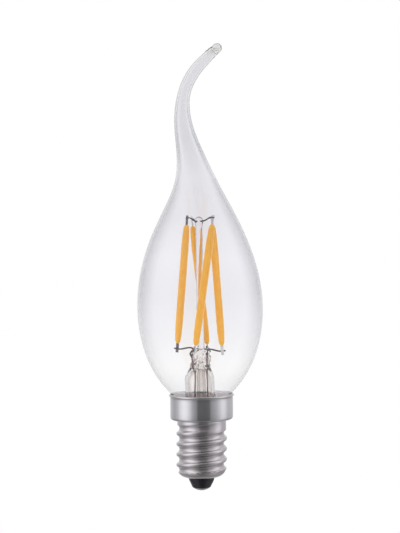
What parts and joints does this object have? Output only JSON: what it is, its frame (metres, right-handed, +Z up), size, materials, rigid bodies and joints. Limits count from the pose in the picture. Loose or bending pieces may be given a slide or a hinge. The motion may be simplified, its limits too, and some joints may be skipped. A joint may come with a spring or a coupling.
{
  "type": "candle bulb",
  "caption": "Clear glass candle bulb with a drawn, bent tip, upright yellow filament strips round a glass post and a small nickel screw cap with a wide collar.",
  "frame": {"origin": "lowest point of the centre contact, on the axis of the cap and the glass", "axes": "+Z up the bulb's axis from the contact to the tip; +X is the side the tip's end bends to, and the tail lies in the XZ plane; -Y is the front"},
  "size_m": [0.0338, 0.0338, 0.1203],
  "materials": {
    "clear_glass": "clear blown glass, fire-polished",
    "stem_glass": "clear pressed glass",
    "cap_nickel": "bright nickel plate on brass sheet",
    "cement": "matt baked cement",
    "black_insulator": "black fused glass",
    "contact_metal": "tinned, slightly dull",
    "phosphor_coating": "smooth orange-yellow phosphor silicone",
    "tab_metal": "bright plated strip",
    "wire_metal": "drawn nickel wire",
    "board_laminate": "white solder mask",
    "chip_plastic": "moulded epoxy",
    "capacitor_can": "shrink sleeve over aluminium",
    "resistor_ceramic": "overglazed chip with tinned ends"
  },
  "bodies": {
    "root": {"glass_envelope": "clear_glass", "stem_flare": "stem_glass", "exhaust_tube": "stem_glass", "centre_post": "stem_glass", "cap_shell": "cap_nickel", "basing_cement": "cement", "insulator": "black_insulator", "centre_contact": "contact_metal", "contact_wire": "wire_metal", "shell_wire": "wire_metal", "driver_board": "board_laminate", "rectifier": "chip_plastic", "driver_chip": "chip_plastic", "smoothing_capacitor": "capacitor_can", "fuse_resistor": "resistor_ceramic", "arm_wire_front": "wire_metal", "arm_wire_rear": "wire_metal", "upper_wire_left": "wire_metal", "upper_wire_right": "wire_metal", "lead_wire_left": "wire_metal", "lead_wire_right": "wire_metal", "filament_left": "phosphor_coating", "filament_rear": "phosphor_coating", "filament_right": "phosphor_coating", "filament_front": "phosphor_coating", "upper_tab_left": "tab_metal", "lower_tab_left": "tab_metal", "upper_tab_rear": "tab_metal", "lower_tab_rear": "tab_metal", "upper_tab_right": "tab_metal", "lower_tab_right": "tab_metal", "upper_tab_front": "tab_metal", "lower_tab_front": "tab_metal"}
  },
  "joints": []
}
